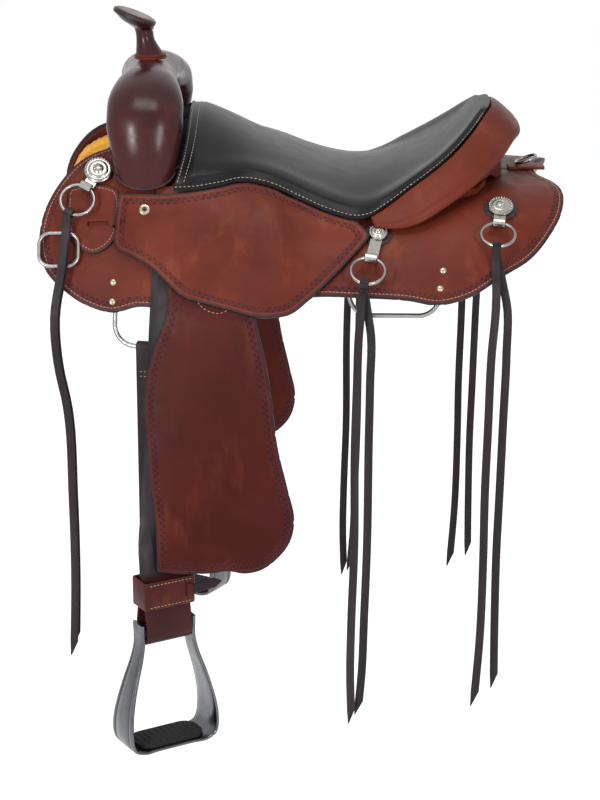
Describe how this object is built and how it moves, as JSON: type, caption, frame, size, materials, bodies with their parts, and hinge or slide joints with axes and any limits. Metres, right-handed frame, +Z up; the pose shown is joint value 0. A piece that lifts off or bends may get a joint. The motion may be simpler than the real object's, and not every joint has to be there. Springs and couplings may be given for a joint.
{
  "type": "trail saddle",
  "caption": "Western trail saddle: horn, swell, padded seat with rolled cantle, skirts, fenders, metal stirrups, rigging dees, latigo and hanging saddle strings.",
  "frame": {"origin": "middle of the horse's back under the seat, 85 mm below the lowest point of the seat", "axes": "+Z up, -X towards the horn (front), -Y towards the near (left) side of the horse"},
  "size_m": [0.6484, 0.6452, 0.8892],
  "materials": {
    "red_leather": "satin, lightly antiqued",
    "swell_leather": "smooth satin",
    "fender_leather": "satin, stamped border",
    "black_leather": "soft satin",
    "strap_leather": "oiled",
    "fleece": "woolly",
    "foam": "plain",
    "tree": "rawhide covered",
    "steel": "satin",
    "chrome": "polished",
    "aluminium": "satin polished",
    "rubber": "ribbed matt"
  },
  "bodies": {
    "saddle_body": {"breast_dee_near": "steel", "breast_dee_off": "steel", "cantle_back": "red_leather", "cantle_roll": "red_leather", "concho_front_near": "chrome", "concho_front_off": "chrome", "concho_mid_near": "chrome", "concho_mid_off": "chrome", "concho_rear_near": "chrome", "concho_rear_off": "chrome", "crupper_tab": "red_leather", "fleece_near": "fleece", "fleece_off": "fleece", "ground_seat": "red_leather", "horn_cap_cover": "swell_leather", "horn_core": "steel", "horn_wrap": "swell_leather", "jockey_near": "red_leather", "jockey_off": "red_leather", "latigo_keeper_near": "red_leather", "latigo_keeper_off": "red_leather", "rigging_dee_front_near": "steel", "rigging_dee_front_off": "steel", "rigging_dee_rear_near": "steel", "rigging_dee_rear_off": "steel", "seat_cover": "black_leather", "seat_foam": "foam", "skirt_near": "red_leather", "skirt_off": "red_leather", "swell_cover": "swell_leather", "tree_bar_near": "tree", "tree_bar_off": "tree", "tree_cantle": "tree", "tree_fork": "tree"},
    "fender_body_near": {"fender_near": "fender_leather", "stirrup_leather_near": "strap_leather", "hobble_strap_near": "fender_leather"},
    "stirrup_body_near": {"stirrup_near": "aluminium", "stirrup_bolt_near": "steel", "tread_pad_near": "rubber"},
    "string_front_near_body": {"string_ring_front_near": "chrome", "strings_front_near": "strap_leather"},
    "string_mid_near_body": {"string_ring_mid_near": "chrome", "strings_mid_near": "strap_leather"},
    "string_rear_near_body": {"string_ring_rear_near": "chrome", "strings_rear_near": "strap_leather"},
    "latigo_near_body": {"latigo_near": "strap_leather"},
    "fender_body_off": {"fender_off": "fender_leather", "stirrup_leather_off": "strap_leather", "hobble_strap_off": "fender_leather"},
    "stirrup_body_off": {"stirrup_off": "aluminium", "stirrup_bolt_off": "steel", "tread_pad_off": "rubber"},
    "string_front_off_body": {"string_ring_front_off": "chrome"},
    "string_mid_off_body": {"string_ring_mid_off": "chrome", "strings_mid_off": "strap_leather"},
    "string_rear_off_body": {"string_ring_rear_off": "chrome", "strings_rear_off": "strap_leather"},
    "off_billet_body": {"off_billet": "strap_leather"},
    "crupper_dee_body": {"crupper_dee": "chrome"}
  },
  "joints": [
    {"name": "fender_swing_near", "type": "hinge", "parent": "saddle_body", "child": "fender_body_near", "pos_m": [-0.145, -0.16148, 0.08096], "axis": [-0.1682, -0.7913, 0.5878], "range_deg": [-10, 8]},
    {"name": "stirrup_swing_near", "type": "hinge", "parent": "fender_body_near", "child": "stirrup_body_near", "pos_m": [-0.169, -0.2665, -0.448], "axis": [-0.8572, -0.515, 0], "range_deg": [-5, 40]},
    {"name": "string_ring_swing_front_near", "type": "hinge", "parent": "saddle_body", "child": "string_front_near_body", "pos_m": [-0.26182, -0.15721, 0.08903], "axis": [-0.8746, 0.3028, 0.3787], "range_deg": [0, 45]},
    {"name": "string_ring_swing_mid_near", "type": "hinge", "parent": "saddle_body", "child": "string_mid_near_body", "pos_m": [0.08564, -0.22816, 0.01643], "axis": [-0.9781, 0.1682, 0.1222], "range_deg": [0, 45]},
    {"name": "string_ring_swing_rear_near", "type": "hinge", "parent": "saddle_body", "child": "string_rear_near_body", "pos_m": [0.2418, -0.19286, 0.05153], "axis": [-0.9925, 0.1054, 0.0612], "range_deg": [0, 45]},
    {"name": "latigo_near_swing", "type": "hinge", "parent": "saddle_body", "child": "latigo_near_body", "pos_m": [-0.178, -0.2172, -0.098], "axis": [0.9796, -0.2009, 0], "range_deg": [-2, 30]},
    {"name": "fender_swing_off", "type": "hinge", "parent": "saddle_body", "child": "fender_body_off", "pos_m": [-0.145, 0.16148, 0.08096], "axis": [0.1682, -0.7913, -0.5878], "range_deg": [-10, 8]},
    {"name": "stirrup_swing_off", "type": "hinge", "parent": "fender_body_off", "child": "stirrup_body_off", "pos_m": [-0.169, 0.2665, -0.448], "axis": [0.8572, -0.515, 0], "range_deg": [-5, 40]},
    {"name": "string_ring_swing_front_off", "type": "hinge", "parent": "saddle_body", "child": "string_front_off_body", "pos_m": [-0.26182, 0.15721, 0.08903], "axis": [0.8746, 0.3028, -0.3787], "range_deg": [0, 45]},
    {"name": "string_ring_swing_mid_off", "type": "hinge", "parent": "saddle_body", "child": "string_mid_off_body", "pos_m": [0.08564, 0.22816, 0.01643], "axis": [0.9781, 0.1682, -0.1222], "range_deg": [0, 45]},
    {"name": "string_ring_swing_rear_off", "type": "hinge", "parent": "saddle_body", "child": "string_rear_off_body", "pos_m": [0.2418, 0.19286, 0.05153], "axis": [0.9925, 0.1054, -0.0612], "range_deg": [0, 45]},
    {"name": "off_billet_swing", "type": "hinge", "parent": "saddle_body", "child": "off_billet_body", "pos_m": [-0.178, 0.2172, -0.098], "axis": [-0.9796, -0.2009, 0], "range_deg": [-2, 30]},
    {"name": "crupper_dee_swing", "type": "hinge", "parent": "saddle_body", "child": "crupper_dee_body", "pos_m": [0.279, 0, 0.0884], "axis": [0, -1, 0], "range_deg": [0, 100]}
  ]
}
